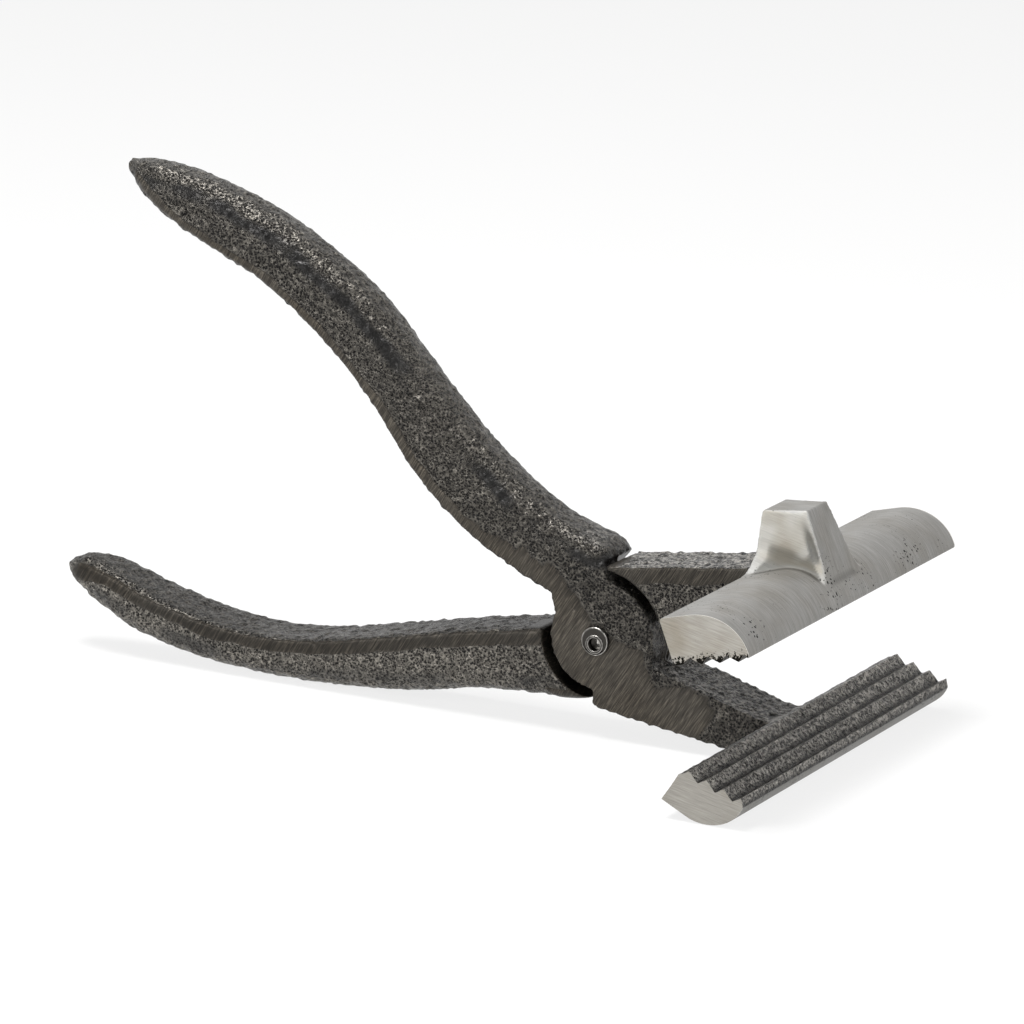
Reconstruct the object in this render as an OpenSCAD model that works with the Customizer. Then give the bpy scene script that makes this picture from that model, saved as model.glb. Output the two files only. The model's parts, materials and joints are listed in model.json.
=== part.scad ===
// Canvas pliers: two crossed castings that turn on one rivet, shown open and standing.
// X runs from the grips to the jaws, Y across the jaws, Z up from the floor.

/* [Levers] */
// Thickness of both castings at the pivot
lever_t = 18; // [15:0.5:22]
// Distance from the pivot to the tip of the lower grip
grip_l = 155; // [130:1:180]
// Swing of the front lever from fully open to closed
close_angle = 30.5; // [29:0.5:33]

/* [Lap joint] */
// Radius of the round boss on its grip side
boss_r = 12.8; // [11:0.1:13]
// Radius of the round boss on its jaw side
boss_wide_r = 15.6; // [14:0.1:16]
// Gap between the boss and the hollow shoulders round it
shoulder_gap = 2.6; // [1.5:0.1:3]
// Gap between the two flat lap faces
lap_gap = 0.3; // [0.1:0.05:0.6]

/* [Rivet] */
// Diameter of the rivet's shank
rivet_d = 6.4; // [5:0.1:8]
// Running clearance between shank and front lever, on the radius
rivet_gap = 0.05; // [0.02:0.01:0.1]
// Gap between the front lever and the rivet's front end
rivet_seat_gap = 0.05; // [0.02:0.01:0.2]
// Diameter of the two swelled rivet ends
rivet_head_d = 7.2; // [6.8:0.1:10]
// Height that each rivet end stands out
rivet_head_h = 1.2; // [0.6:0.1:2]
// Diameter of the drilled hollow in each rivet end
rivet_hole_d = 3.2; // [2:0.1:4]
// Depth of that hollow
rivet_hole_h = 3; // [1.5:0.1:6]
// How far the hollow sits below the middle of the rivet
rivet_hole_drop = 0.8; // [0:0.1:1]

/* [Jaws] */
// Length of both jaws, along the edge of the canvas
jaw_l = 120; // [80:1:160]
// Distance from the pivot to the first tooth
tooth_start = 51.7; // [48:0.1:56]
// Height of the tooth tips above the pivot, square to the jaw face
tooth_line = 4.3; // [3.5:0.1:5]
// Number of gripping ridges
teeth = 4; // [3:1:4]
// Distance from one ridge to the next
tooth_pitch = 4.8; // [4:0.1:5]
// Depth of the grooves between the ridges
tooth_depth = 1.8; // [1:0.1:2.4]
// Share of the pitch that the long slope of each ridge takes
tooth_slope = 0.64; // [0.5:0.01:0.8]
// Clearance between the meshed ridges when closed
tooth_gap = 0.25; // [0.1:0.05:0.5]
// Slope of the lower jaw face when fully open
lower_tilt = 17; // [15:0.5:19]
// Depth of the lower jaw below its ridges
lower_jaw_t = 11; // [9:0.1:12]
// Height of the upper jaw above its ridges
upper_jaw_t = 11.8; // [10:0.1:14]
// Overhang of the jaws' round noses past the last ridge
nose = 1.2; // [0.5:0.1:2]

/* [Heel] */
// Height of the heel above the back of the upper jaw
heel_h = 13.6; // [8:0.1:18]
// Depth of the heel's flat top, from its back to its front
heel_top_l = 11.5; // [8:0.1:14]
// Width of the heel's flat top, along the jaw
heel_top_w = 11.6; // [8:0.1:20]
// Radius of the hollow blends beside the heel
heel_blend = 8; // [4:0.1:12]

/* [Hidden] */
cast_colour = [0.2, 0.2, 0.2];
ground_colour = [0.66, 0.65, 0.63];
half_t = lever_t / 2;
grip_shoulder_r = boss_r + shoulder_gap;
arm_shoulder_r = boss_wide_r + shoulder_gap;
tooth_end = tooth_start + (teeth - 1) * tooth_pitch;
nose_u = tooth_end + nose;
upper_line = tooth_line - tooth_depth + tooth_gap;
upper_top = upper_line + upper_jaw_t;
lower_floor = tooth_line - lower_jaw_t;
// How far back the nose curve of each jaw begins, and where the lower one meets its face
lower_nose_a = 11.4;
lower_nose_v = tooth_line - tooth_depth;
upper_nose_a = 13.2;
// Grip length as a share of the drawn one, used on the stations past the root
drawn_grip_l = 155;
grip_scale = grip_l / drawn_grip_l;
// Rings between two stations of a grip, and points round each ring
steps = 4;
ring = 28;

// Stations of the lower grip: inner edge x and z, outer edge x and z, half thickness,
// squareness of the inner side and of the outer side.
lower_stations = [
    [-12.4, 0.8, -1.1, -15.6, 8.9, 14, 6],
    [-15, 0.5, -8.5, -17.2, 8.9, 14, 5],
    [-36, -3.3, -31, -19.1, 8.9, 12, 3.2],
    [-59, -8.8, -55, -24.1, 8.8, 12, 2.6],
    [-80, -13.4, -78, -26.3, 8.7, 11, 2.4],
    [-96, -14.9, -96, -26.6, 8.6, 10, 2.4],
    [-112, -13.6, -114, -25.6, 8.4, 8, 2.4],
    [-128, -9.9, -132, -22.4, 8, 6, 2.4],
    [-141, -5.7, -145, -16.8, 7, 4.5, 2.4],
    [-150, -4.3, -153, -11.9, 5, 3, 2.3],
    [-155.8, -6.8, -156, -9, 1.4, 2, 2]
];
// Stations of the upper grip, in the same order
upper_stations = [
    [-11.6, 5.6, 1.1, 20.1, 8.9, 14, 6],
    [-13.4, 9.2, -1.6, 23.8, 8.9, 14, 4],
    [-24.3, 13.8, -15.2, 28.6, 8.9, 12, 3],
    [-39.4, 22.1, -30.4, 38.6, 8.9, 12, 2.6],
    [-53.7, 34.4, -41.8, 48.5, 8.8, 12, 2.4],
    [-65.7, 49.4, -55.1, 61.8, 8.7, 11, 2.4],
    [-79, 62.2, -70, 76.4, 8.6, 10, 2.4],
    [-97, 74.8, -90.5, 88.9, 8.5, 8, 2.4],
    [-112, 81.2, -107.3, 95.9, 8.3, 7, 2.4],
    [-125.5, 86.8, -122.3, 99.9, 7.6, 5, 2.4],
    [-135.4, 92.2, -134, 101.3, 5.6, 3, 2.3],
    [-141.3, 97.6, -141.3, 100.6, 1.4, 2, 2]
];

// Smooth curve through four neighbouring stations, at share f of the middle span
function between(a, b, c, d, f) =
    0.5 * (2 * b + (c - a) * f + (2 * a - 5 * b + 4 * c - d) * f * f
    + (3 * b - a - 3 * c + d) * f * f * f);

// Station list stretched along the grip past its root, which stays at the boss
function stretched(list) = [for (i = [0 : len(list) - 1])
    let (s = list[i], k = i < 2 ? 1 : grip_scale, r = list[1])
    [r[0] + (s[0] - r[0]) * k, r[1] + (s[1] - r[1]) * k,
        r[2] + (s[2] - r[2]) * k, r[3] + (s[3] - r[3]) * k,
        s[4] * half_t / 9, s[5], s[6]]];

// Every ring's station, interpolated
function all_stations(list) = let (n = len(list))
    [for (i = [0 : n - 2], j = [0 : (i == n - 2 ? steps : steps - 1)])
        between(list[max(i - 1, 0)], list[i], list[i + 1], list[min(i + 2, n - 1)], j / steps)];

function power(c, e) = sign(c) * pow(abs(c), e);

// One ring of the grip: square on the inner side, round on the palm side
function grip_ring(s) = [for (k = [0 : ring - 1])
    let (a = (k + 0.5) * 360 / ring, c = cos(a), p = c > 0 ? s[6] : s[5],
        m = 0.5 + 0.5 * power(c, 2 / p), y = s[4] * power(sin(a), 2 / p))
    [s[0] + (s[2] - s[0]) * m, y, s[1] + (s[3] - s[1]) * m]];

// Quarter of an ellipse that rounds a jaw's nose, from its face to its back
function nose_arc(u, v, a, b) = [for (t = [0 : 7.5 : 90]) [u + a * cos(t), v + b * sin(t)]];
function lower_nose() =
    nose_arc(nose_u - lower_nose_a, lower_nose_v, lower_nose_a, lower_floor - lower_nose_v);
function upper_nose() = nose_arc(nose_u - upper_nose_a, upper_line, upper_nose_a, upper_jaw_t);

// Turns a point of a jaw's frame into the pivot's frame
function swung(p, angle) =
    [p[0] * cos(angle) - p[1] * sin(angle), p[1] * cos(angle) + p[0] * sin(angle)];

// The tool stands on its lower grip and its lower jaw. Lean that brings both to one level,
// found in a few turns, the height of the pivot above that level, and the middle of the length.
function level(points, lean) = min([for (p = points) swung(p, -lean)[1]]);
function settle(grips, jaws, lean, turns) = turns == 0 ? lean :
    settle(grips, jaws, lean + atan((level(jaws, lean) - level(grips, lean)) / (2.2 * nose_u)), turns - 1);
grip_side = [for (s = all_stations(stretched(lower_stations)), p = grip_ring(s)) [p[0], p[2]]];
jaw_side = [for (p = lower_nose()) swung(p, -lower_tilt)];
upper_side = [for (p = upper_nose()) swung(p, close_angle - lower_tilt)];
stance = settle(grip_side, jaw_side, 0, 12);
pivot_h = -level(grip_side, stance);
back_x = min([for (p = grip_side) swung(p, -stance)[0]]);
front_x = max([for (p = concat(jaw_side, upper_side)) swung(p, -stance)[0]]);
middle_x = (back_x + front_x) / 2;

module grip(list) {
    first = list[0];
    across = [first[2] - first[0], first[3] - first[1]];
    along = [list[1][0] - first[0], list[1][1] - first[1]];
    inside_out = cross(across, along) < 0;
    rings = [for (s = all_stations(stretched(list))) grip_ring(s)];
    n = len(rings);
    points = [for (r = rings) each r];
    sides = [for (i = [0 : n - 2], k = [0 : ring - 1], half = [0, 1])
        let (a = i * ring + k, b = i * ring + (k + 1) % ring, c = b + ring, d = a + ring)
        half == 0 ? [a, b, c] : [a, c, d]];
    ends = [[for (k = [ring - 1 : -1 : 0]) k], [for (k = [0 : ring - 1]) (n - 1) * ring + k]];
    faces = concat(sides, ends);
    polyhedron(points, inside_out ? faces : [for (f = faces) [for (k = [len(f) - 1 : -1 : 0]) f[k]]]);
}

// Draws an outline of the X-Z plane as a plate between two Y values
module plate(y0, y1) {
    translate([0, y1, 0]) rotate([90, 0, 0]) linear_extrude(y1 - y0) children();
}

// Turns from the pivot's frame into the frame of one jaw
module jaw_frame(angle) {
    rotate([0, -angle, 0]) children();
}

module sector(r, a0, a1) {
    intersection() {
        circle(r, $fn = 96);
        polygon([[0, 0], for (a = [a0 : (a1 - a0) / 6 : a1]) 2 * r * [cos(a), sin(a)]]);
    }
}

// Ridge outline of a jaw face, from the first ridge to the last
function ridges(line) = [for (i = [0 : teeth - 1], part = [0, 1])
    if (part == 0 || i < teeth - 1)
        [tooth_start + (i + part * tooth_slope) * tooth_pitch, line - part * tooth_depth]];

module lower_jaw_outline() {
    back_u = tooth_start - 4.1;
    polygon(concat(
        [[back_u, lower_floor + 1.2], [tooth_start - 2.2, tooth_line - 2], [tooth_start - 1.3, tooth_line - 1.5]],
        ridges(tooth_line),
        lower_nose()));
}

module upper_jaw_outline() {
    back_u = tooth_start - 6.2;
    polygon(concat(
        [[back_u, upper_top - 0.3], [tooth_start - 4.3, upper_line + 0.1], [tooth_start - 1.6, upper_line + 0.2]],
        [for (p = ridges(tooth_line)) p + [0, tooth_gap]],
        upper_nose()));
}

module bore(r) {
    rotate([90, 0, 0]) cylinder(h = 2 * lever_t, r = r, center = true, $fn = 64);
}

// Outline of a lever's boss: round on the grip side and wider on the jaw side
module boss(a0, a1) {
    circle(boss_r, $fn = 96);
    sector(boss_wide_r, a0, a1);
}

// Outline of the hollow that one lever leaves for the other one's boss
module shoulder(a0, a1) {
    circle(grip_shoulder_r, $fn = 96);
    sector(arm_shoulder_r, a0, a1);
}

// Web that joins the end of a grip to its own boss: the front lever's, then the rear lever's
module upper_neck() {
    polygon([[0, 0], [-11.8, 5.4], [-13.2, 9.1], [0.8, 20], [0.7, 18.6], [2.5, boss_wide_r - 0.3]]);
}

module lower_neck() {
    polygon([[0, 0], [-12.6, 0.3], [-14.8, 0.4], [-1.3, -15.4], [-1, -14.5], [0.5, 0.3 - boss_r]]);
}

// Straight arm from the lower side of the boss to the lower jaw
module lower_arm() {
    polygon([[0, 0], [3.9, -15.1], [4.6, -16.1], [6.3, -16.3], [tooth_start - 11, lower_floor - 3.4],
        [tooth_start - 4.2, lower_floor - 1.7], [tooth_start + 3, lower_floor + 0.1],
        [tooth_start, tooth_line - 4], [tooth_start - 2.2, tooth_line - 2.4],
        [tooth_start - 7, tooth_line - 3], [20, tooth_line - 3.9], [15.3, tooth_line - 4]]);
}

// Straight arm from the upper side of the boss to the upper jaw
module upper_arm() {
    polygon([[0, 0], [5.9, 18.2], [tooth_start - 5.8, upper_top + 0.5], [tooth_start, upper_top - 2],
        [tooth_start, tooth_line + 1.2], [tooth_start - 4.3, upper_line + 0.4], [16, upper_line]]);
}

// Side view of the heel, leaning with the upper jaw
module heel_side() {
    polygon([[tooth_start - 6.1, upper_top - 0.8], [tooth_start - 6.1 + heel_h * 0.29, upper_top + heel_h + 0.3],
        [tooth_start - 6.1 + heel_h * 0.29 + heel_top_l, upper_top + heel_h - 1],
        [nose_u - 1.6, upper_line + 4.2], [tooth_start, upper_line + 3]]);
}

// View along the arm of the heel: a narrow top with a hollow blend on each side
module heel_front() {
    foot = heel_top_w / 2 + 2;
    difference() {
        polygon([for (s = [-1, 1], p = s < 0 ? [[foot + heel_blend, -12], [foot + heel_blend, 0], [foot, heel_blend],
            [heel_top_w / 2, heel_h + 4]] : [[heel_top_w / 2, heel_h + 4], [foot, heel_blend],
            [foot + heel_blend, 0], [foot + heel_blend, -12]]) [s * p[0], p[1]]]);
        for (s = [-1, 1]) translate([s * (foot + heel_blend), heel_blend]) circle(heel_blend, $fn = 64);
    }
}

module heel() {
    intersection() {
        plate(-jaw_l / 2 + 1, jaw_l / 2 - 1) heel_side();
        translate([tooth_start - 6.1, 0, upper_top])
            rotate([0, 20, 0]) rotate([90, 0, 90])
            translate([0, 0, -10]) linear_extrude(40) heel_front();
    }
}

module in_place() {
    translate([-middle_x, 0, pivot_h]) rotate([0, stance, 0]) children();
}

// Each lever is half as thick at its boss, and full thickness past its shoulders
module front_lever() {
    color(cast_colour) in_place() difference() {
        union() {
            difference() {
                grip(upper_stations);
                plate(-lap_gap / 2, lever_t) shoulder(-100, 60);
            }
            plate(-half_t, -lap_gap / 2) {
                boss(-60, 86);
                upper_neck();
                rotate(-lower_tilt) lower_arm();
            }
            plate(-lap_gap / 2, half_t) difference() {
                rotate(-lower_tilt) lower_arm();
                shoulder(-100, 60);
            }
            jaw_frame(-lower_tilt) plate(-jaw_l / 2, jaw_l / 2) lower_jaw_outline();
        }
        bore(rivet_d / 2 + rivet_gap);
    }
}

module rear_lever() {
    color(cast_colour) in_place() difference() {
        union() {
            difference() {
                grip(lower_stations);
                plate(-lever_t, lap_gap / 2) shoulder(-30, 95);
            }
            plate(lap_gap / 2, half_t) {
                boss(-94, 30);
                lower_neck();
                rotate(close_angle - lower_tilt) upper_arm();
            }
            plate(-half_t, lap_gap / 2) difference() {
                rotate(close_angle - lower_tilt) upper_arm();
                shoulder(-30, 95);
            }
            jaw_frame(close_angle - lower_tilt) plate(-jaw_l / 2, jaw_l / 2) upper_jaw_outline();
            jaw_frame(close_angle - lower_tilt) heel();
        }
        bore(rivet_d / 2);
    }
}

// The shank is pressed in the rear lever; the front lever turns under the front end
module pivot_rivet() {
    front_y = -half_t - rivet_seat_gap - rivet_head_h;
    back_y = half_t + rivet_head_h;
    color(ground_colour) in_place() difference() {
        union() {
            plate(front_y, back_y) circle(d = rivet_d, $fn = 64);
            plate(front_y, front_y + rivet_head_h) circle(d = rivet_head_d, $fn = 64);
            plate(half_t, back_y) circle(d = rivet_head_d, $fn = 64);
        }
        for (y = [front_y, back_y]) plate(y - rivet_hole_h, y + rivet_hole_h)
            translate([0, -rivet_hole_drop]) circle(d = rivet_hole_d, $fn = 48);
    }
}

front_lever();
rear_lever();
pivot_rivet();
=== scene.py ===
"""Canvas pliers: two part-ground iron castings on one rivet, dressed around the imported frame."""
import json
import math

import bmesh
import bpy
import numpy as np
from mathutils import Matrix, Vector


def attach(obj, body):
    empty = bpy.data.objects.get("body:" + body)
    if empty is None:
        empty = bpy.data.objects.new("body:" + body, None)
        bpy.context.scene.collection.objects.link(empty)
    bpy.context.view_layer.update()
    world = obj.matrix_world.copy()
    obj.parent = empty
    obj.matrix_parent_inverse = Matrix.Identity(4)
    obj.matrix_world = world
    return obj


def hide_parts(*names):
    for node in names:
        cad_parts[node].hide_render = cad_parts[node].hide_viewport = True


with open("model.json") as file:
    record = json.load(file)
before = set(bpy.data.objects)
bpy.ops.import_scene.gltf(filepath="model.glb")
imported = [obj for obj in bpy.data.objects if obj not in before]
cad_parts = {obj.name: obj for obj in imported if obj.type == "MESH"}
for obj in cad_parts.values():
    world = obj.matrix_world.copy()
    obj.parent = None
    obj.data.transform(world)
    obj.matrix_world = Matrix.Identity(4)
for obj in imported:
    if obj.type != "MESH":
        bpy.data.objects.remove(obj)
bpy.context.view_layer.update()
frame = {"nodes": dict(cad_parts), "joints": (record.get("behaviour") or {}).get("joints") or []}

MM = 0.001
# The pivot, and the lean that the open tool stands with, as the frame has them
PIVOT = np.array(frame["joints"][0]["pos_m"])
STANCE = math.radians(1.305)
# Slopes of the two jaw faces to the pivot's own level, fully open
LOWER_SLOPE = math.radians(-17)
UPPER_SLOPE = math.radians(13.5)
# Sizes in millimetres: half the levers' thickness, half the jaws' width, how far a ridge's tip
# stands above its jaw's own zero, the rim of a jaw's end that gets a painted highlight, and a reach
# past the end of everything for the cutting blocks
HALF_T = 9.0
JAW_HALF = 60.0
RIDGE_TIP = 4.3
HIGHLIGHT_RIM = 0.28
FAR = 99


# Frames of reference
def pivot_mm(points):
    """World metres to the pivot's level frame in millimetres: x to the jaws, y away, z up."""
    p = (points - PIVOT) / MM
    c, s = math.cos(STANCE), math.sin(STANCE)
    return np.stack([p[:, 0] * c - p[:, 2] * s, p[:, 1], p[:, 2] * c + p[:, 0] * s], 1)


def world_m(points):
    """The reverse of pivot_mm."""
    p = np.asarray(points, float)
    c, s = math.cos(STANCE), math.sin(STANCE)
    x, y, z = p[..., 0], p[..., 1], p[..., 2]
    return np.stack([x * c + z * s, y, z * c - x * s], -1) * MM + PIVOT


def turned(points, slope):
    """Turns points of the pivot's frame into a jaw's frame: u out along the jaw, v up."""
    c, s = math.cos(slope), math.sin(slope)
    x, y, z = points[:, 0], points[:, 1], points[:, 2]
    return np.stack([x * c + z * s, y, z * c - x * s], 1)


# Mesh helpers
def piece(name, mesh):
    """Puts a mesh in the scene, at the origin."""
    obj = bpy.data.objects.new(name, mesh)
    bpy.context.scene.collection.objects.link(obj)
    return obj


def mesh_of(bm, name):
    """Turns a BMesh into a new mesh."""
    mesh = bpy.data.meshes.new(name)
    bm.to_mesh(mesh)
    bm.free()
    return mesh


def vectors(items, field):
    """A field of three numbers from each item of a mesh, one row to an item."""
    values = np.zeros(len(items) * 3, np.float32)
    items.foreach_get(field, values)
    return values.reshape(-1, 3).astype(float)


def reworked(mesh, work):
    """Lets a function change the mesh as a BMesh."""
    bm = bmesh.new()
    bm.from_mesh(mesh)
    work(bm)
    bm.to_mesh(mesh)
    bm.free()


def coords(mesh):
    return vectors(mesh.vertices, "co")


def put_coords(mesh, co):
    mesh.vertices.foreach_set("co", co.astype(np.float32).ravel())
    mesh.update()


def normals(mesh):
    return vectors(mesh.vertex_normals, "vector")


def face_normals(mesh):
    return vectors(mesh.polygons, "normal")


def applied(obj):
    """Replaces the object's mesh by what its modifiers make of it."""
    graph = bpy.context.evaluated_depsgraph_get()
    mesh = bpy.data.meshes.new_from_object(
        obj.evaluated_get(graph), preserve_all_data_layers=True, depsgraph=graph)
    obj.modifiers.clear()
    obj.data = mesh
    return obj


def modified(obj, kind, **settings):
    """Adds one modifier and applies it."""
    m = obj.modifiers.new(kind.lower(), kind)
    for key, value in settings.items():
        setattr(m, key, value)
    return applied(obj)


def joined(obj, other, operation):
    """Unites obj with the other mesh or cuts by it, then takes the other away."""
    modified(obj, "BOOLEAN", operation=operation, solver="MANIFOLD", object=other)
    bpy.data.objects.remove(other)
    return obj


def block(name, slope, u, y, v):
    """A closed box given by its limits in a jaw's frame, in millimetres."""
    bm = bmesh.new()
    bmesh.ops.create_cube(bm, size=1)
    mesh = mesh_of(bm, name)
    co = coords(mesh) + 0.5
    for axis, (low, high) in enumerate((u, y, v)):
        co[:, axis] = low + (high - low) * co[:, axis]
    put_coords(mesh, world_m(turned(co, -slope)))
    return piece(name, mesh)


def casting_from(node, name):
    """A copy of the node's mesh with its loose triangles merged."""
    mesh = frame["nodes"][node].data.copy()
    mesh.materials.clear()
    reworked(mesh, lambda bm: bmesh.ops.remove_doubles(bm, verts=bm.verts, dist=1e-7))
    return piece(name, mesh)


def neighbour_mean(mesh):
    """Makes the function that gives, at each vertex, the mean of its neighbours' values."""
    pairs = np.zeros(len(mesh.edges) * 2, np.int64)
    mesh.edges.foreach_get("vertices", pairs)
    a, b = pairs.reshape(-1, 2).T
    total = len(mesh.vertices)
    count = np.bincount(np.concatenate([a, b]), minlength=total)

    def mean(values):
        return (np.bincount(a, values[b], total) + np.bincount(b, values[a], total)) / count
    return mean


def softened(mesh, rounds, weight=1.0):
    """Smooths a dense mesh without shrinking it, by a pull in and a push out in turn."""
    co = coords(mesh)
    mean = neighbour_mean(mesh)
    for _ in range(rounds):
        for strength in (0.5, -0.52):
            around = np.stack([mean(co[:, k]) for k in range(3)], 1)
            co += (around - co) * strength * np.reshape(weight, (-1, 1))
    put_coords(mesh, co)


def smooth_shaded(mesh, degrees):
    """Shades smooth, apart from edges sharper than that angle."""
    mesh.polygons.foreach_set("use_smooth", np.ones(len(mesh.polygons), bool))
    mesh.set_sharp_from_angle(angle=math.radians(degrees))


def mixed(h):
    """Scrambles whole numbers, for noise that is the same each run."""
    h = (h ^ (h >> np.uint64(15))) * np.uint64(2246822519)
    h = (h ^ (h >> np.uint64(13))) * np.uint64(3266489917)
    return (h ^ (h >> np.uint64(16))) & np.uint64(0xFFFFFFFF)


def lumps(p, size, seed):
    """Smooth noise from -1 to 1 at points in millimetres, with lumps of about that size.
    Each seed shifts the grid of cells, and the whole is kept on its positive side."""
    seed_shift, positive = 17.31, 4096
    q = p / size + seed * seed_shift + positive
    cell = np.floor(q)
    f = q - cell
    f = f * f * (3 - 2 * f)
    total = np.zeros(len(p))
    for corner in range(8):
        bits = [(corner >> k) & 1 for k in range(3)]
        c = (cell + bits).astype(np.uint64)
        h = mixed(c[:, 0] * np.uint64(73856093) + mixed(
            c[:, 1] * np.uint64(19349663) + mixed(c[:, 2] * np.uint64(83492791) + np.uint64(seed))))
        w = np.prod([f[:, k] if bits[k] else 1 - f[:, k] for k in range(3)], axis=0)
        total += w * (h.astype(float) / 0xFFFFFFFF)
    return total * 2 - 1


def ramp(x, low, high):
    """Smooth step from 0 at low to 1 at high."""
    t = np.clip((x - low) / (high - low), 0, 1)
    return t * t * (3 - 2 * t)


def near_line(p, line):
    """Distance in the X-Z plane from each point to a line through the given x, z pairs."""
    q, line = p[:, [0, 2]], np.array(line, float)
    best = np.full(len(q), 1e9)
    for a, b in zip(line[:-1], line[1:]):
        d = b - a
        t = np.clip(((q - a) @ d) / (d @ d), 0, 1)
        best = np.minimum(best, np.linalg.norm(q - a - t[:, None] * d, axis=1))
    return best


def inside(p, outline):
    """Which points lie within an outline of x, z pairs."""
    x, z = p[:, 0], p[:, 2]
    hit = np.zeros(len(p), bool)
    for (x0, z0), (x1, z1) in zip(outline, outline[1:] + outline[:1]):
        crosses = (z0 > z) != (z1 > z)
        hit ^= crosses & (x < (x1 - x0) * (z - z0) / ((z1 - z0) or 1e-9) + x0)
    return hit


# Materials
def linear(code):
    """An sRGB hex colour as linear RGBA."""
    parts = [int(code[k:k + 2], 16) / 255 for k in (1, 3, 5)]
    return [c / 12.92 if c <= 0.04045 else ((c + 0.055) / 1.055) ** 2.4 for c in parts] + [1]


def add(tree, kind, sockets=None, **settings):
    """Adds a node. Settings name its properties or sockets. Each of the sockets is fed by
    another node, by one of its outputs or with a plain value."""
    node = tree.nodes.new(kind)
    for key, value in settings.items():
        if hasattr(node, key):
            setattr(node, key, value)
        else:
            node.inputs[key.replace("_", " ")].default_value = value
    for key, source in (sockets or {}).items():
        if isinstance(source, bpy.types.Node):
            source = source.outputs[0]
        if isinstance(source, bpy.types.NodeSocket):
            tree.links.new(source, node.inputs[key])
        else:
            node.inputs[key].default_value = source
    return node


def calc(tree, operation, *values, **settings):
    """A maths node's result, from numbers or other nodes."""
    return add(tree, "ShaderNodeMath", dict(enumerate(values)), operation=operation,
               **settings).outputs[0]


def ranged(tree, value, start, end, low=0.0, high=1.0):
    """Maps a value's span from low to high to the span from start to end, and clamps it."""
    return add(tree, "ShaderNodeMapRange", {"Value": value}, From_Min=low, From_Max=high,
               To_Min=start, To_Max=end).outputs[0]


def blend(tree, factor, a, b, kind="RGBA", **settings):
    """Mixes two colours, or two numbers where kind is FLOAT."""
    return add(tree, "ShaderNodeMix", {"Factor": factor, "A": a, "B": b}, data_type=kind,
               **settings).outputs["Result"]


def colour_ramp(tree, value, *pairs):
    """A colour ramp's colour. Each pair is a position and a hex colour."""
    node = add(tree, "ShaderNodeValToRGB", {"Fac": value})
    marks = node.color_ramp.elements
    while len(marks) < len(pairs):
        marks.new(0.5)
    for mark, (position, code) in zip(marks, pairs):
        mark.position, mark.color = position, linear(code)
    return node.outputs[0]


def attribute(tree, name):
    return add(tree, "ShaderNodeAttribute", attribute_name=name).outputs["Fac"]


def noise(tree, place, scale, detail, roughness=0.5):
    return add(tree, "ShaderNodeTexNoise", {"Vector": place}, Scale=scale, Detail=detail,
               Roughness=roughness)


def shaken(tree, place, source):
    """Shifts each place by up to 0.6 mm along each axis, by a noise node's colour."""
    return add(tree, "ShaderNodeVectorMath", {
        0: source.outputs["Color"], 1: (0.0006, 0.0006, 0.0006), 2: place},
        operation="MULTIPLY_ADD")


def streaks(tree, place, rotation, scale, roughness):
    """Noise that is turned and then stretched into streaks."""
    slant = add(tree, "ShaderNodeMapping", {"Vector": place}, Rotation=rotation)
    stretched = add(tree, "ShaderNodeMapping", {"Vector": slant}, Scale=scale)
    return noise(tree, stretched, 1, 3, roughness).outputs[0]


def new_material(name):
    mat = bpy.data.materials.new(name)
    mat.use_nodes = True
    mat.node_tree.nodes.clear()
    return mat, mat.node_tree


def metal_shader(tree, metallic, **sockets):
    """The principled shader and the output, with sockets named with underscores."""
    shader = add(tree, "ShaderNodeBsdfPrincipled", {
        key.replace("_", " "): source for key, source in sockets.items()}, Metallic=metallic)
    add(tree, "ShaderNodeOutputMaterial", {"Surface": shader})


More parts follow.
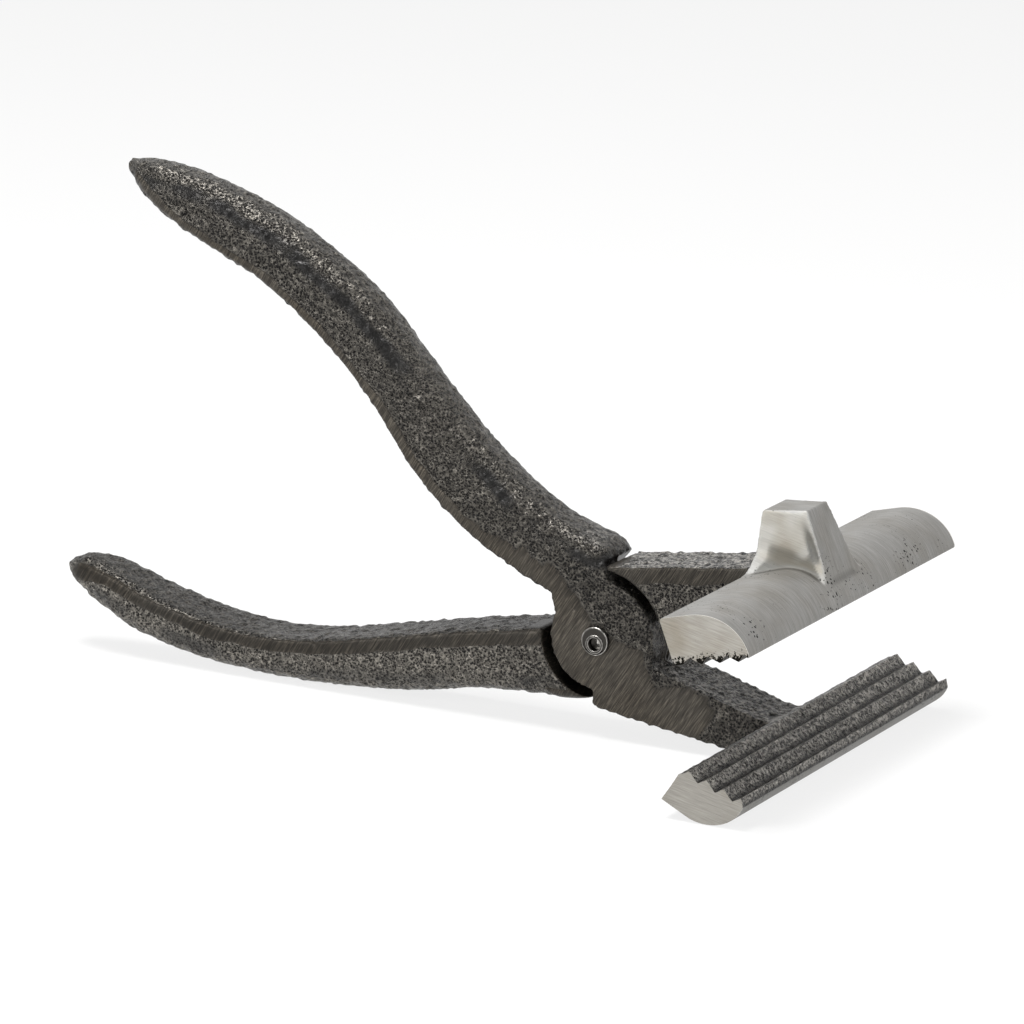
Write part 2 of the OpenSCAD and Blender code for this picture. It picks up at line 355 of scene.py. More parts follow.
def sand_cast_iron():
    """Black sand-cast iron, with its flats belt-ground to dull grey-brown.
    The cast skin is grey with dark pits, and the ground parts show fine slanting lines."""
    mat, t = new_material("sand_cast_iron")
    place = add(t, "ShaderNodeTexCoord").outputs["Object"]
    ground = attribute(t, "ground")
    sleek_and_shade = attribute(t, "sleek_and_shade")
    # Pits about 0.6 mm apart in grit of 0.4 mm, on clumps of about 1.2 mm
    grit = noise(t, place, 2600, 2, 0.6)
    pits = add(t, "ShaderNodeTexVoronoi", {"Vector": shaken(t, place, grit)}, Scale=1750)
    pit = ranged(t, pits.outputs["Distance"], 0.26, 0.48, 0.08, 0.55)
    tone = calc(t, "MULTIPLY_ADD", pits.outputs["Color"], 0.15, pit)
    grain = calc(t, "MULTIPLY_ADD", grit, 0.10, tone)
    clump = noise(t, place, 850, 3, 0.6)
    # Faces that lay upwards in the mould came out coarser
    coarse = attribute(t, "coarse")
    skin = blend(t, ranged(t, coarse, 0.16, 0.5), grain, clump, "FLOAT")
    # In the band along the turn to the palm side the skin is smoother, painted dark as shade and
    # given a cool tint
    skin = blend(t, sleek_and_shade, skin, 0.52, "FLOAT")
    side_colour = colour_ramp(t, skin, (0.41, "#070606"), (0.48, "#211f1d"), (0.54, "#4a4743"),
                              (0.60, "#706c65"), (0.70, "#b5afa5"))
    top_colour = colour_ramp(t, skin, (0.45, "#070707"), (0.51, "#32302d"), (0.61, "#bdb9b2"))
    skin_colour = blend(t, coarse, side_colour, top_colour)
    cooled_shade = blend(t, sleek_and_shade, skin_colour, linear("#c9d0dc"), blend_type="MULTIPLY")
    # Belt lines about 0.3 mm apart, running up to the jaw side at 58 degrees
    lines = streaks(t, place, (0, math.radians(58), 0), (190, 900, 3300), 0.6)
    line_colour = colour_ramp(t, lines, (0.3, "#2f2c29"), (0.5, "#494641"), (0.7, "#746f67"))
    tint = blend(t, noise(t, place, 55, 3), line_colour, linear("#cfc4b4"),
                 blend_type="MULTIPLY")
    ground_edge = colour_ramp(t, calc(t, "ADD", ground, grain), (0.8, "#000000"),
                              (1.0, "#ffffff"))
    metal = blend(t, ground_edge, cooled_shade, tint)
    # Darkening from the attribute: a darker tone on the front casting, and painted shade in the
    # ridge grooves, pores and crack, on the lower grip's upward faces and on its ground flats
    colour = blend(t, attribute(t, "dull_and_shade"), metal, linear("#6c6a68"), blend_type="MULTIPLY")
    height = blend(t, ground_edge, skin, calc(t, "MULTIPLY_ADD", lines, 0.10, 0.42), "FLOAT")
    bump = add(t, "ShaderNodeBump", {"Height": height}, Strength=1.0, Distance=0.0014)
    metal_shader(t, 0.7, Base_Color=colour, Roughness=ranged(t, ground_edge, 0.33, 0.40),
                 Normal=bump)
    return mat


def satin_ground_iron():
    """Iron ground bright on a belt: light grey satin with fine streaks and black pinholes."""
    mat, t = new_material("satin_ground_iron")
    place = add(t, "ShaderNodeTexCoord").outputs["Object"]
    facing = add(t, "ShaderNodeSeparateXYZ", {
        "Vector": add(t, "ShaderNodeNewGeometry").outputs["True Normal"]})
    sideways = calc(t, "ABSOLUTE", facing.outputs["Y"])
    end_on = ranged(t, sideways, 0, 1, 0.75, 0.9)
    across = calc(t, "ABSOLUTE", add(t, "ShaderNodeSeparateXYZ", {"Vector": place}).outputs["Y"])
    at_end = calc(t, "GREATER_THAN", across, (JAW_HALF - HIGHLIGHT_RIM) * MM)
    # The heel's sides are paler and less glossy than the rest
    pale_matte_sides = calc(t, "SUBTRACT", ranged(t, sideways, 0, 1, 0.1, 0.5), at_end, use_clamp=True)
    # Streaks about 0.3 mm apart, round the jaw on its back and level on its ends
    round_jaw = streaks(t, place, (0, 0, 0.14), (150, 3400, 150), 0.65)
    level = streaks(t, place, (0, -0.22, 0), (150, 150, 3400), 0.65)
    streak = blend(t, end_on, round_jaw, level, "FLOAT")
    back_tone = colour_ramp(t, streak, (0.3, "#7e7d7a"), (0.5, "#8d8c8a"), (0.7, "#9e9d9b"))
    end_tone = colour_ramp(t, streak, (0.3, "#9f9c98"), (0.5, "#b0ada8"), (0.7, "#bfbcb7"))
    tone = blend(t, end_on, back_tone, end_tone)
    tone = blend(t, ranged(t, pale_matte_sides, 0, 0.4), tone, linear("#eeefef"))
    # Painted shade in the hollows round the heel and in its flute; the lower jaw's bright faces are
    # made a little darker all over
    tone = blend(t, attribute(t, "hollow"), tone, linear("#bcbcba"), blend_type="MULTIPLY")
    stain = colour_ramp(t, noise(t, place, 90, 2), (0.42, "#fffefa"), (0.66, "#dcd5c6"))
    tone = blend(t, ranged(t, end_on, 0.4, 0.75), tone, stain, blend_type="MULTIPLY")
    # Gas pinholes up to 0.5 mm across, in loose clusters, and fewer on the ends
    hole = add(t, "ShaderNodeTexVoronoi", {
        "Vector": shaken(t, place, noise(t, place, 1400, 2))}, Scale=1050)
    cluster = ranged(t, noise(t, place, 75, 1), 0, 0.48, 0.40, 0.72)
    reach = calc(t, "MULTIPLY", cluster, ranged(t, end_on, 1.0, 0.45))
    reach = calc(t, "MULTIPLY", reach, hole.outputs["Color"])
    pinhole = calc(t, "LESS_THAN", hole.outputs["Distance"], reach)
    # The upper jaw's ends crumble where they run out into its cast ridges
    lean = UPPER_SLOPE - STANCE
    from_pivot = add(t, "ShaderNodeVectorMath", {0: place, 1: PIVOT}, operation="SUBTRACT")
    rise = add(t, "ShaderNodeVectorMath", {
        0: from_pivot, 1: (-math.sin(lean), 0, math.cos(lean))},
        operation="DOT_PRODUCT").outputs["Value"]
    loose = calc(t, "LESS_THAN", noise(t, place, 1100, 3, 0.7),
                 ranged(t, rise, 0.62, 0.2, 0.0030, 0.0070))
    upper_end = calc(t, "MULTIPLY", calc(t, "GREATER_THAN", rise, 0), end_on)
    pit = calc(t, "MAXIMUM", pinhole, calc(t, "MULTIPLY", upper_end, loose))
    # A painted highlight along the rims of the ends
    rim_highlight = calc(t, "SUBTRACT", at_end, end_on, use_clamp=True)
    tone = blend(t, rim_highlight, tone, linear("#d3d0ca"))
    colour = blend(t, pit, tone, linear("#15130f"))
    bump = add(t, "ShaderNodeBump", {"Height": calc(t, "SUBTRACT", streak, pit)},
               Strength=0.25, Distance=0.0002)
    gloss = blend(t, pale_matte_sides, ranged(t, streak, 0.46, 0.60), 0.85, "FLOAT")
    metal_shader(t, 0.9, Base_Color=colour, Roughness=gloss, Normal=bump)
    return mat


def turned_steel():
    """Bright turned steel: rims worn bright with a painted highlight, painted shade in the recesses
    and a painted glint deep in each drilled hollow.
    """
    mat, t = new_material("turned_steel")
    place = add(t, "ShaderNodeTexCoord").outputs["Object"]
    wear = noise(t, place, 1500, 2)
    clean = colour_ramp(t, wear, (0.3, "#9d9a95"), (0.7, "#cfccc7"))
    # Painted shade where the attribute is 0; where it is 1, worn rims with a painted highlight and
    # a painted glint in the hollow
    colour = blend(t, attribute(t, "wear_glint_and_shade"), linear("#3f3d3a"), clean)
    metal_shader(t, 1.0, Base_Color=colour, Roughness=ranged(t, wear, 0.22, 0.42))
    return mat


# The ridged jaw
def ridged_jaw_tree():
    """Geometry Nodes: draws the jaw's ridged outline from its sizes and runs it along the jaw."""
    t = bpy.data.node_groups.new("ridged_jaw", "GeometryNodeTree")
    t.interface.new_socket("Geometry", in_out="OUTPUT", socket_type="NodeSocketGeometry")
    sizes = {"Ridges": ("Int", 4), "First ridge": ("Float", 51.7),
             "Ridge height": ("Float", RIDGE_TIP), "Pitch": ("Float", 4.8),
             "Groove depth": ("Float", 1.8), "Long slope": ("Float", 0.64),
             "Nose reach": ("Float", 11.4), "Nose end": ("Float", 67.3),
             "Nose height": ("Float", 2.5), "Nose drop": ("Float", -9.2),
             "Length": ("Float", 2 * JAW_HALF), "Step": ("Float", 0.42),
             "Back foot": ("Vector", (47.6, -5.5, 0)), "Back lip": ("Vector", (49.5, 2.3, 0)),
             "Face lip": ("Vector", (50.4, 2.8, 0)), "Finish": ("Material", None)}
    for name, (kind, value) in sizes.items():
        socket = t.interface.new_socket(name, in_out="INPUT", socket_type="NodeSocket" + kind)
        if value is not None:
            socket.default_value = value
    given = add(t, "NodeGroupInput").outputs
    back_points, nose_steps = 3, 12
    ridge_points = calc(t, "SUBTRACT", calc(t, "MULTIPLY", given["Ridges"], 2), 1)
    nose_from = calc(t, "ADD", ridge_points, back_points)
    row = add(t, "GeometryNodeMeshLine", {"Count": calc(t, "ADD", nose_from, nose_steps + 1)})
    index = add(t, "GeometryNodeInputIndex").outputs[0]
    # Back of the jaw: three drawn points
    back = add(t, "GeometryNodeIndexSwitch", {0: index}, data_type="VECTOR")
    back.index_switch_items.new()
    for k, name in enumerate(("Back foot", "Back lip", "Face lip")):
        t.links.new(given[name], back.inputs[k + 1])
    # Ridges: a tip at each pitch, with a groove after the long slope
    k = calc(t, "SUBTRACT", index, back_points)
    tooth = calc(t, "FLOOR", calc(t, "DIVIDE", k, 2.0))
    part = calc(t, "SUBTRACT", k, calc(t, "MULTIPLY", tooth, 2.0))
    along = calc(t, "MULTIPLY_ADD", part, given["Long slope"], tooth)
    depth = calc(t, "MULTIPLY", part, given["Groove depth"])
    ridge = add(t, "ShaderNodeCombineXYZ", {
        "X": calc(t, "MULTIPLY_ADD", along, given["Pitch"], given["First ridge"]),
        "Y": calc(t, "SUBTRACT", given["Ridge height"], depth)})
    # Nose: a quarter of an ellipse
    angle = calc(t, "MULTIPLY", calc(t, "SUBTRACT", index, nose_from), math.pi / 2 / nose_steps)
    inset = calc(t, "SUBTRACT", 1.0, calc(t, "COSINE", angle))
    nose = add(t, "ShaderNodeCombineXYZ", {
        "X": calc(t, "SUBTRACT", given["Nose end"], calc(
            t, "MULTIPLY", given["Nose reach"], inset)),
        "Y": calc(t, "MULTIPLY_ADD", given["Nose drop"], calc(t, "SINE", angle),
                  given["Nose height"])})
    face = add(t, "GeometryNodeSwitch", {
        "Switch": calc(t, "LESS_THAN", index, back_points), "False": ridge, "True": back},
        input_type="VECTOR")
    outline = add(t, "GeometryNodeSwitch", {
        "Switch": calc(t, "GREATER_THAN", index, calc(t, "SUBTRACT", nose_from, 0.5)),
        "False": face, "True": nose}, input_type="VECTOR")
    # A profile's Y comes out downwards when it runs along a line in +Y
    flipped = add(t, "ShaderNodeVectorMath", {0: outline, 1: (1, -1, 1)}, operation="MULTIPLY")
    drawn = add(t, "GeometryNodeSetPosition", {"Geometry": row, "Position": flipped})
    loop = add(t, "GeometryNodeMeshToCurve", {0: drawn})
    closed = add(t, "GeometryNodeSetSplineCyclic", {"Geometry": loop}, Cyclic=True)
    fine = add(t, "GeometryNodeResampleCurve", {"Curve": closed, "Length": given["Step"]},
               mode="LENGTH")
    half = calc(t, "MULTIPLY", given["Length"], 0.5)
    path = add(t, "GeometryNodeCurvePrimitiveLine", {
        "Start": add(t, "ShaderNodeCombineXYZ", {"Y": calc(t, "MULTIPLY", half, -1.0)}),
        "End": add(t, "ShaderNodeCombineXYZ", {"Y": half})})
    stepped = add(t, "GeometryNodeResampleCurve", {
        "Curve": path, "Length": calc(t, "MULTIPLY", given["Step"], 1.6)}, mode="LENGTH")
    upright = add(t, "GeometryNodeSetCurveNormal", {"Curve": stepped}, mode="Z_UP")
    bar = add(t, "GeometryNodeCurveToMesh", {"Curve": upright, "Profile Curve": fine},
              Fill_Caps=True)
    merged = add(t, "GeometryNodeMergeByDistance", {"Geometry": bar}, Distance=0.001)
    real = add(t, "GeometryNodeRealizeInstances", {"Geometry": merged})
    finish = add(t, "GeometryNodeSetMaterial", {"Geometry": real, "Material": given["Finish"]})
    add(t, "NodeGroupOutput", {0: finish})
    return t


jaw_tree = ridged_jaw_tree()


def ridged_jaw(name, finish, **sizes):
    """A ridged bar in its jaw's own frame, in millimetres."""
    obj = piece(name, bpy.data.meshes.new(name))
    m = obj.modifiers.new("jaw", "NODES")
    m.node_group = jaw_tree
    sockets = {s.name: s.identifier for s in jaw_tree.interface.items_tree if s.in_out == "INPUT"}
    m[sockets["Finish"]] = finish
    for key, value in sizes.items():
        m[sockets[key.replace("_", " ")]] = value
    applied(obj)
    reworked(obj.data, lambda bm: bmesh.ops.recalc_face_normals(bm, faces=bm.faces))
    return obj


# The castings
# Size of the remeshed castings' cells in mm, as fine as the limit of triangles allows
VOXEL = 0.52
# The cast skin's lumps, each with its height and its size, and how far the whole is sunk
LUMPS = [(0.12, 2.4), (0.30, 1.2), (0.06, 6.0)]
SUNK = 0.22
# The parts of the joint that stay smooth: the bore, and the lap faces that lie in the joint
BORE_R, LAP_R, LAP_MIDDLE, LAP_DEPTH = 5, 20, 3.6, 5
CAST, BRIGHT = 0, 1
cast_skin = sand_cast_iron()
bright = satin_ground_iron()
rivet_finish = turned_steel()


def remeshed(obj):
    return modified(obj, "REMESH", mode="VOXEL", voxel_size=VOXEL * MM, adaptivity=0,
                    use_smooth_shade=True)


def roughened(mesh, amount):
    """Pushes the cast skin in and out, in lumps left by the sand."""
    co, no = coords(mesh), normals(mesh)
    rise = sum(height * lumps(co / MM, size, seed)
               for seed, (height, size) in enumerate(LUMPS, 1)) - SUNK
    put_coords(mesh, co + no * (rise * amount)[:, None] * MM)


def hollows(mesh, rounds):
    """How hollow the surface is at each vertex: its neighbours' lift, in mm, evened out."""
    co, no = coords(mesh), normals(mesh)
    mean = neighbour_mean(mesh)
    lift = sum((mean(co[:, k]) - co[:, k]) * no[:, k] for k in range(3)) / MM
    for _ in range(rounds):
        lift = mean(lift)
    return lift


def joint_faces(p, side):
    """Which points lie in the bore, and which on the lever's own lap faces, to that side."""
    away = np.hypot(p[:, 0], p[:, 2])
    return away < BORE_R, (np.abs(p[:, 1] - side * LAP_MIDDLE) < LAP_DEPTH) & (away < LAP_R)


def coarseness(p, n):
    """How coarse the skin was cast: the faces that lay upwards, most of all along the arms."""
    return ramp(n[:, 2], 0.72, 0.97) * (0.1 + 0.9 * ramp(p[:, 0], -12, -2))


def dented(mesh, place, reach, depth):
    """Presses a small flaw into the front of a casting, and says how far it reaches each point."""
    co, no = coords(mesh), normals(mesh)
    p = pivot_mm(co)
    away = ((p[:, 0] - place[0]) / reach[0]) ** 2 + ((p[:, 2] - place[1]) / reach[1]) ** 2
    share = np.exp(-away) * (p[:, 1] < -1)
    put_coords(mesh, co - no * (depth * share)[:, None] * MM)
    return share


def store(mesh, name, values):
    """Keeps a number for each vertex, which the materials read by its name."""
    a = mesh.attributes.get(name) or mesh.attributes.new(name, "FLOAT", "POINT")
    a.data.foreach_set("value", values.astype(np.float32))


def face_means(mesh, rows):
    """Mean over each face of its vertices' rows."""
    corner_vertex = np.zeros(len(mesh.loops), np.int64)
    mesh.loops.foreach_get("vertex_index", corner_vertex)
    start = np.zeros(len(mesh.polygons), np.int64)
    mesh.polygons.foreach_get("loop_start", start)
    sums = np.add.reduceat(rows[corner_vertex], start, axis=0)
    return sums / np.diff(np.append(start, len(corner_vertex)))[:, None]


def finish_faces(mesh, is_bright):
    """Gives the bright faces the bright finish and all others the cast skin."""
    mesh.materials.clear()
    mesh.materials.append(cast_skin)
    mesh.materials.append(bright)
    mesh.polygons.foreach_set("material_index", np.where(is_bright, BRIGHT, CAST).astype(np.int32))
    mesh.update()


# Inner edges of the grips, x and z in mm from the pivot, as the frame has them
UPPER_INNER = [(-11.6, 5.6), (-24.3, 13.8), (-39.4, 22.1), (-53.7, 34.4), (-65.7, 49.4),
               (-79, 62.2), (-97, 74.8), (-112, 81.2), (-125.5, 86.8), (-141.3, 97.6)]
LOWER_INNER = [(-12.4, 0.8), (-36, -3.3), (-59, -8.8), (-80, -13.4), (-96, -14.9),
               (-112, -13.6), (-128, -9.9), (-141, -5.7), (-155.8, -6.8)]
# Outer edges of the grips, in the same way
UPPER_OUTER = [(-1.6, 23.8), (-15.2, 28.6), (-30.4, 38.6), (-41.8, 48.5), (-55.1, 61.8),
               (-70, 76.4), (-90.5, 88.9), (-107.3, 95.9), (-122.3, 99.9), (-141.3, 100.6)]
LOWER_OUTER = [(-1.1, -15.6), (-31, -19.1), (-55, -24.1), (-78, -26.3), (-96, -26.6),
               (-114, -25.6), (-132, -22.4), (-145, -16.8), (-156, -9)]
# Area that was held to the belt on the front lever's boss and arm
BOSS_GROUND = [(-36, 24), (-27.7, 22.8), (-10.7, 15.4), (-9.3, 13.9), (-3.8, 8.4), (2.8, 2.7),
               (12.9, -0.7), (14.4, -4.8), (17.8, -7.5), (30.1, -8.4), (36.2, -11.6),
               (30.7, -19), (26, -30), (-20, -20), (-20, 5), (-45, 14)]


def ground_flats(p, n, edge, width, patch=None):
    """Share from 0 to 1 of how far each point of the front was taken down by the belt."""
    wobble = 0.5 * lumps(p, 9, 7) + 0.35 * lumps(p, 2.5, 8)
    flat = 1 - ramp(near_line(p, edge) + wobble, width - 0.5, width + 0.5)
    if patch:
        away = near_line(p, patch + patch[:1]) * np.where(inside(p, patch), -1, 1) + 3 * wobble
        flat = np.maximum(flat, 1 - ramp(away, -4.0, 2.0))
    return flat * ramp(-n[:, 1], 0.75, 0.93)


def sleek_shade_band(p, edge):
    """Share of how smooth the skin was cast, in a broken band along the turn to the palm side,
    where the material also paints the skin dark as shade.
    """
    away = near_line(p, edge) + 0.9 * lumps(p, 7, 9)
    band = ramp(away, 1.8, 3.2) * (1 - ramp(away, 4.6, 6.4))
    return band * ramp(lumps(p, 16, 10) + 0.5 * lumps(p, 4, 12), -0.5, 0.3) * 0.8


def make_front_casting():
    """Upper grip, front half of the lap, lower arm and the ridged lower jaw."""
    obj = casting_from("front_lever", "front_casting")
    # The solid's jaw is cut away past the arm, and a ridged bar takes its place
    beside, tall = HALF_T + 0.15, (-40, 40)
    for y in ((-FAR, -beside), (beside, FAR)):
        joined(obj, block("side", LOWER_SLOPE, (40, FAR), y, tall), "DIFFERENCE")
    joined(obj, block("slab", LOWER_SLOPE, (54, FAR), (-FAR, FAR), tall), "DIFFERENCE")
    mesh = remeshed(obj).data
    softened(mesh, 4)
    p, n = pivot_mm(coords(mesh)), normals(mesh)
    ground = ground_flats(p, n, UPPER_INNER, 3.4, BOSS_GROUND)
    bore, lap = joint_faces(p, 1)
    roughened(mesh, (1 - ground) * np.where(bore | lap, 0.0, 1.0))
    # Two pores, one above the rivet and one beside the belt's patch
    pores = (dented(mesh, (-6.7, 7.1), (0.7, 0.6), 0.35)
             + dented(mesh, (-29.4, 25.4), (0.6, 0.6), 0.4))
    store(mesh, "ground", np.where(lap, 1.0, ground))
    store(mesh, "sleek_and_shade", sleek_shade_band(p, UPPER_OUTER))
    # The front casting's skin is darker all over and a little more towards the pivot; its two pores
    # are darkened further as painted shade
    store(mesh, "dull_and_shade", np.maximum(0.55 + 0.12 * ramp(p[:, 0], -30, 0), pores) * (1 - ground))
    store(mesh, "coarse", coarseness(p, n))

    jaw = ridged_jaw("front_jaw", cast_skin)
    q, no = coords(jaw.data), normals(jaw.data)
    height = q[:, 2].copy()
    nose = (height < 2.2) & (q[:, 0] > 50) | (height < -4)
    rise = (0.07 * lumps(q, 1.9, 11) + 0.12 * lumps(q, 0.9, 12) - 0.11) * np.where(nose, 0.0, 1.0)
    no[:, 1] = 0
    put_coords(jaw.data, world_m(turned(q + no * rise[:, None], -LOWER_SLOPE)))
    store(jaw.data, "ground", np.zeros(len(q)))
    store(jaw.data, "sleek_and_shade", np.zeros(len(q)))
    # Only the lower jaw's bright faces read this, which makes them a little darker all over
    store(jaw.data, "hollow", np.full(len(q), 0.35))
    # Painted shade in the grooves between the ridges, below their tips
    store(jaw.data, "dull_and_shade", 1 - ramp(height, 2.55, 3.3))
    store(jaw.data, "coarse", 0.4 * ramp(height, 2.2, 2.6))
    joined(obj, jaw, "UNION")

    mesh = obj.data
    out, across, up = face_means(mesh, turned(pivot_mm(coords(mesh)), LOWER_SLOPE)).T
    across, facing = np.abs(across), np.abs(face_normals(mesh)[:, 1])
    on_jaw = (out > 47) & ((across > HALF_T + 0.2) | (out > 55.5))
    is_end = on_jaw & (facing > 0.9) & (across > JAW_HALF - 0.5)
    is_nose = on_jaw & (up < 2.2) & (out > 49.6)
    lip = (out > 49.2) & (out < 50.0) & (up > 2.1)
    finish_faces(mesh, is_end | is_nose | lip)
    return obj


def make_rear_casting():
    """Lower grip, rear half of the lap, upper arm and the upper jaw with its heel."""
    obj = casting_from("rear_lever", "rear_casting")
    # The jaw is drawn a little long and then cut to length, so that its ends stay crisp
    co = coords(obj.data)
    co[np.abs(co[:, 1]) / MM > JAW_HALF - 1, 1] *= 1.03
    put_coords(obj.data, co)
    mesh = remeshed(obj).data
    q = turned(pivot_mm(coords(mesh)), UPPER_SLOPE)
    jaw = ramp(q[:, 0], 44.8, 45.8) * ramp(q[:, 2], 2, 4)
    softened(mesh, 4)
    softened(mesh, 14, jaw)
    # A flute runs down the heel's near side, beside its outer edge
    heel_edge = 61.2 + 0.24 * (26 - q[:, 2])
    flute = (np.exp(-((q[:, 0] - heel_edge + 1.5) / 0.9) ** 2) * (q[:, 1] < -4) * (q[:, 1] > -14)
             * ramp(q[:, 2], 13.5, 16.5) * (1 - ramp(q[:, 2], 18, 26)))
    co = coords(mesh)
    co[:, 1] += 0.8 * flute * MM
    put_coords(mesh, co)
    # Painted shade in the concave blend round the heel's foot and in the flute
    heel_hollow_shade = ramp(hollows(mesh, 14), 0.0005, 0.006) * jaw
    store(mesh, "hollow", np.maximum(heel_hollow_shade, 2 * flute))
    # Its ridges are cut by the lower jaw's, a tenth of a millimetre high, so that the two mesh
    wide = (-JAW_HALF - 1, JAW_HALF + 1)
    joined(obj, block("ridge_stock", UPPER_SLOPE, (51.9, 66), wide, (2.6, 5.2)), "UNION")
    cutter = ridged_jaw("ridge_cutter", cast_skin, Ridge_height=RIDGE_TIP + 0.1,
                        Length=2 * JAW_HALF + 6)
    put_coords(cutter.data, world_m(turned(coords(cutter.data), -UPPER_SLOPE)))
    joined(obj, cutter, "DIFFERENCE")
    for y in ((-FAR, -JAW_HALF), (JAW_HALF, FAR)):
        joined(obj, block("end", UPPER_SLOPE, (30, FAR), y, (-40, 60)), "DIFFERENCE")

    mesh = obj.data
    p, n = pivot_mm(coords(mesh)), normals(mesh)
    q = turned(p, UPPER_SLOPE)
    # The arm's upper edge, drawn in the jaw's frame
    c, s = math.cos(UPPER_SLOPE), math.sin(UPPER_SLOPE)
    arm_edge = [(u * c - v * s, v * c + u * s) for u, v in ((5.9, 18.2), (20, 17.3), (46, 15.05))]
    grip_flats = ground_flats(p, n, LOWER_INNER, 4.0)
    arm_flats = ground_flats(p, n, arm_edge, 4.2)
    ground = np.maximum(grip_flats, arm_flats)
    jaw = (q[:, 0] > 45.4) & (q[:, 2] > 2.2)
    bore, lap = joint_faces(p, -1)
    roughened(mesh, (1 - ground) * np.where(bore | lap | jaw, 0.0, 1.0))
    # A short cold crack runs down from the upper edge of the grip
    crack = dented(mesh, (-78.9, -12.4), (0.6, 2.2), 0.9)
    store(mesh, "ground", np.where(lap, 1.0, ground))
    store(mesh, "sleek_and_shade", sleek_shade_band(p, LOWER_OUTER) * 0.5)
    store(mesh, "coarse", coarseness(p, n))
    # Painted shade: the rear casting darker towards the pivot, on the grip's upward faces and on
    # its ground flats, and darkest in the crack
    shade = np.maximum(0.41 * ramp(p[:, 0], -40, 0), 0.75 * ramp(n[:, 2], 0.4, 0.8)
                       * (p[:, 0] < 0)) * (1 - ground)
    store(mesh, "dull_and_shade", np.maximum(crack * 1.2, shade + (0.5 * grip_flats + 0.35 * arm_flats)))

    out, _, up = face_means(mesh, turned(pivot_mm(coords(mesh)), UPPER_SLOPE)).T
    facing = turned(face_normals(mesh), UPPER_SLOPE - STANCE)
    on_jaw = (out > 45.5) & (up > 2.6)
    back = (facing[:, 0] < -0.75) & (out < 50)
    face = (up < 4.7) & (np.abs(facing[:, 1]) < 0.5) & (out < 66.3)
    finish_faces(mesh, on_jaw & ~back & ~face)
    return obj


def make_rivet():
    """The shank and both swelled ends, turned from one outline, with a drilled hollow in each."""
    # Radius, distance out from the lever's face and brightness, from the rim inwards:
    # 1 for worn rims with a painted highlight and for a painted glint in the hollow, 0 for painted
    # shade
    outline = [(3.2, -9.2, 0), (3.2, 0.04, 0), (3.45, 0.04, 0), (3.6, 0.2, 0.2), (3.6, 0.9, 0.5),
               (3.55, 1.08, 1), (3.42, 1.15, 1), (3.32, 1.1, 0.2), (3.15, 0.95, 0), (2.6, 0.88, 0),
               (2.42, 0.95, 0), (2.34, 1.15, 0.5), (2.26, 1.2, 1), (2.18, 1.2, 0.1),
               (1.9, 1.17, 0), (1.8, 1.2, 0.4), (1.72, 1.2, 1), (1.64, 1.08, 0.5),
               (1.6, 0.8, 0), (1.6, -0.6, 0), (0.9, -1.0, 0), (0.55, -0.9, 1), (0.0, -0.6, 1)]
    drop, around = 0.8, 64
    bm = bmesh.new()
    first_rings, brightness = [], []

    def bridge(ring, other):
        """Faces from a ring to the next one, or to the single point in the middle."""
        for k in range(around):
            j = (k + 1) % around
            bm.faces.new((ring[k], ring[j], other[0]) if len(other) == 1
                         else (ring[k], ring[j], other[j], other[k]))

    for side in (-1, 1):
        rings = []
        for r, out, wear_glint_and_shade in outline:
            # The lip and the hollow sit low; the rim stays true
            low = drop * (1 - min(max((r - 2.4) / 0.9, 0), 1))
            angles = [2 * math.pi * k / around for k in range(around if r else 1)]
            rings.append([bm.verts.new((r * math.cos(a), side * (HALF_T + out),
                                        r * math.sin(a) - low)) for a in angles])
            brightness += [wear_glint_and_shade] * len(angles)
        for ring, other in zip(rings, rings[1:]):
            bridge(ring, other)
        first_rings.append(rings[0])
    bridge(*first_rings)
    bmesh.ops.recalc_face_normals(bm, faces=bm.faces)
    mesh = mesh_of(bm, "rivet")
    store(mesh, "wear_glint_and_shade", np.array(brightness, float))
    put_coords(mesh, world_m(coords(mesh)))
    mesh.materials.append(rivet_finish)
    smooth_shaded(mesh, 50)
    return piece("rivet_turned", mesh)


front = make_front_casting()
rear = make_rear_casting()
rivet = make_rivet()
for casting in (front, rear):
    smooth_shaded(casting.data, 48)
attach(front, "front_lever")
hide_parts("front_lever")
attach(rear, "rear_lever")
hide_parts("rear_lever")
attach(rivet, "rear_lever")
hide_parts("pivot_rivet")


# Floor, lights and camera
def make_floor():
    """A white sweep: it keeps the tool's shadow, and meets the camera nearly white."""
    bm = bmesh.new()
    bmesh.ops.create_grid(bm, x_segments=1, y_segments=1, size=4)
    mesh = mesh_of(bm, "floor")
    floor = piece("floor", mesh)
    # A fifth of a millimetre under the tool, so that the two never share a plane
    floor.location.z = -0.0002
    mat, t = new_material("white_sweep")
    rays = add(t, "ShaderNodeLightPath").outputs
    paper = add(t, "ShaderNodeBsdfDiffuse", Color=linear("#f4f4f3"))
    glow = add(t, "ShaderNodeEmission", Color=(1, 1, 1, 1), Strength=1.0)
    seen = calc(t, "MAXIMUM", rays["Is Camera Ray"], rays["Is Glossy Ray"])
    mix = add(t, "ShaderNodeMixShader", {0: calc(t, "MULTIPLY", seen, 0.8), 1: paper, 2: glow})
    add(t, "ShaderNodeOutputMaterial", {"Surface": mix})
    mesh.materials.append(mat)


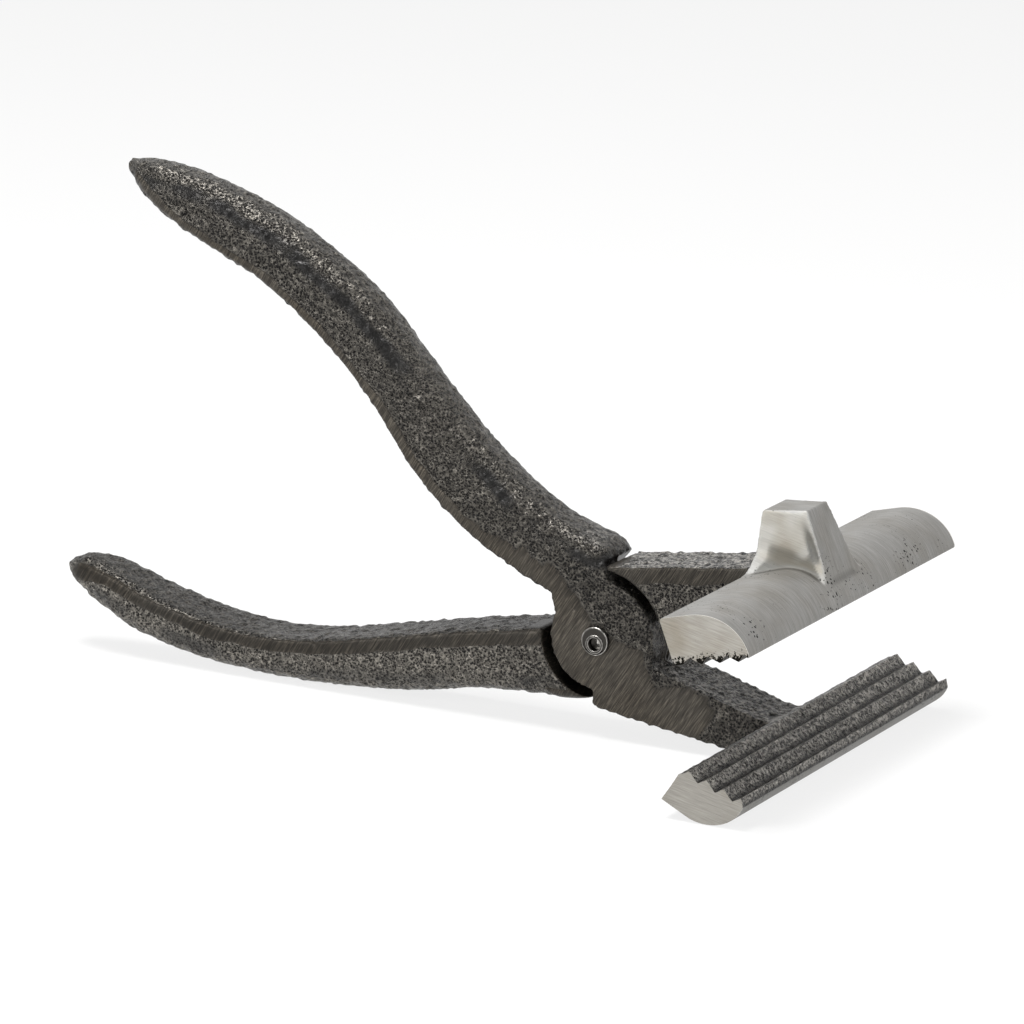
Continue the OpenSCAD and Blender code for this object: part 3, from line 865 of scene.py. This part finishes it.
def make_world():
    """Plain white behind the tool, and a soft light from all round."""
    world = bpy.data.worlds.new("studio")
    bpy.context.scene.world = world
    world.use_nodes = True
    t = world.node_tree
    t.nodes.clear()
    rays = add(t, "ShaderNodeLightPath").outputs
    # White paper stands behind the tool; the room on the near side is dim
    way = add(t, "ShaderNodeSeparateXYZ", {
        "Vector": add(t, "ShaderNodeTexCoord").outputs["Generated"]})
    paper = ranged(t, way.outputs["Y"], 0.16, 1.0, -0.45, 0.25)
    mirrored = calc(t, "MAXIMUM", rays["Is Glossy Ray"], rays["Is Transmission Ray"])
    lit = calc(t, "MULTIPLY", paper, ranged(t, mirrored, 0.4, 1.0))
    strength = calc(t, "MAXIMUM", lit, rays["Is Camera Ray"])
    sky = add(t, "ShaderNodeBackground", {"Strength": strength}, Color=(1, 1, 1, 1))
    add(t, "ShaderNodeOutputWorld", {"Surface": sky})


def softbox(name, place, size, power):
    """A rectangular light of that size in metres, turned to the tool."""
    aim = Vector((0, 0, 0.05))
    data = bpy.data.lights.new(name, "AREA")
    data.shape, data.size, data.size_y, data.energy = "RECTANGLE", size[0], size[1], power
    obj = bpy.data.objects.new(name, data)
    bpy.context.scene.collection.objects.link(obj)
    obj.location = place
    obj.rotation_euler = (aim - Vector(place)).to_track_quat("-Z", "Y").to_euler()


def make_camera():
    """The photograph's view, found from the round shoulders and the jaws' edges."""
    lean, swing, base = math.radians(24.5), math.radians(30.5), math.radians(30.6)
    # Millimetres away, pixels to the millimetre, pixels across and the sensor's width
    distance, scale, picture, sensor = 1500.0, 4.08, 1024, 36
    # Two directions across the tool's side: up along the grips' middle, and square to it
    a = np.array([math.cos(base), 0, math.sin(base)])
    b = np.array([math.sin(base), 0, -math.cos(base)])
    y = np.array([0.0, 1.0, 0.0])
    swung = math.cos(swing) * a + math.sin(swing) * y
    right = swung * math.cos(lean) + math.sin(lean) * b
    up = swung * math.sin(lean) - math.cos(lean) * b
    depth = np.cross(up, right)
    # Where the pivot's front shows, in pixels right of the middle and below it
    pivot_right, pivot_below = 84.2, 128.5
    eye = (np.array([0, -HALF_T, 0]) - right * pivot_right / scale + up * pivot_below / scale
           - depth * distance)
    c, s = math.cos(STANCE), math.sin(STANCE)
    lean_back = np.array([[c, 0, s], [0, 1, 0], [-s, 0, c]])
    data = bpy.data.cameras.new("camera")
    data.sensor_width = sensor
    data.lens = scale * distance / picture * sensor
    data.clip_start, data.clip_end = 0.05, 50
    obj = bpy.data.objects.new("camera", data)
    bpy.context.scene.collection.objects.link(obj)
    turn = lean_back @ np.stack([right, up, -depth], 1)
    obj.matrix_world = Matrix.Translation(Vector(world_m(eye))) @ Matrix(turn.tolist()).to_4x4()
    bpy.context.scene.camera = obj


make_floor()
make_world()
softbox("softbox_above", (-0.15, -0.1, 1.1), (0.5, 0.4), 15)
softbox("softbox_left", (-0.6, -1.0, 0.45), (0.4, 0.4), 6)
softbox("softbox_right", (1.0, -0.5, 0.5), (0.5, 0.7), 4.5)
make_camera()
bpy.context.scene.view_settings.view_transform = "Standard"
